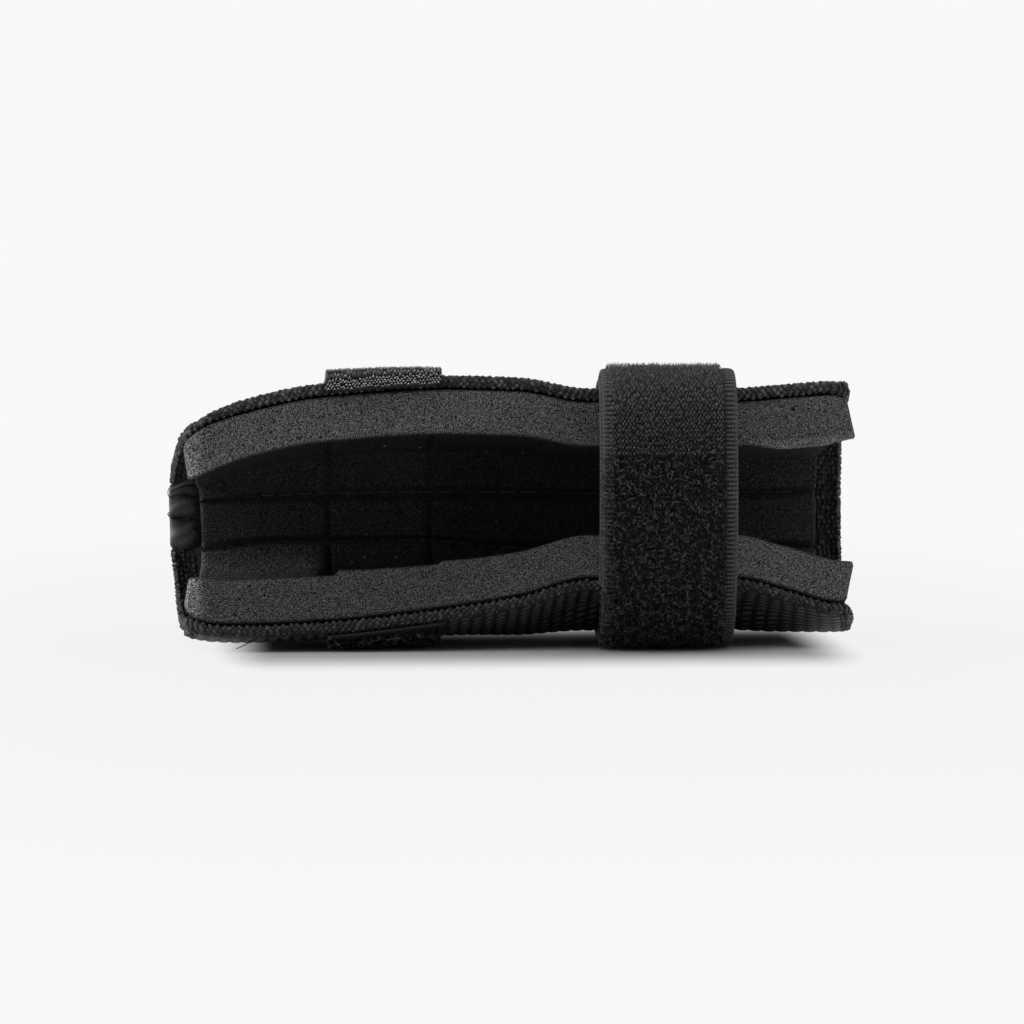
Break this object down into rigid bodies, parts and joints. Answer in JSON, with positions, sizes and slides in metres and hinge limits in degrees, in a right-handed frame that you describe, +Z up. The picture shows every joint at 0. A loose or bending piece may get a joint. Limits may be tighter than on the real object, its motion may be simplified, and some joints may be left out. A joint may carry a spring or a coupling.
{
  "type": "finger support splint",
  "caption": "C-shaped finger support lying on its side: a woven webbing wall lined with thick foam, a hook tab and a loop tab near one end, and a wide hook-and-loop strap closing the other.",
  "frame": {"origin": "middle of the underside of the whole support, at the height of the surface it lies on", "axes": "+X along the finger, from the tab end to the strap end; +Y from the open mouth to the back; +Z up"},
  "size_m": [0.0968, 0.044, 0.0398],
  "materials": {
    "webbing": "thick ribbed nylon webbing, black, matt, with a knobbly woven edge",
    "foam": "open-cell foam, charcoal grey, speckled by its cells",
    "hook_tape": "hook tape, dark grey, rows of small bright hooks",
    "loop_tape": "loop tape, black, soft brushed pile",
    "strap_tape": "hook-and-loop tape, black, fuzzy pile between two ribbed selvedges"
  },
  "bodies": {
    "root": {"webbing_wall": "webbing", "foam_lining": "foam", "hook_tab": "hook_tape", "loop_tab": "loop_tape", "closing_strap": "strap_tape"}
  },
  "joints": []
}
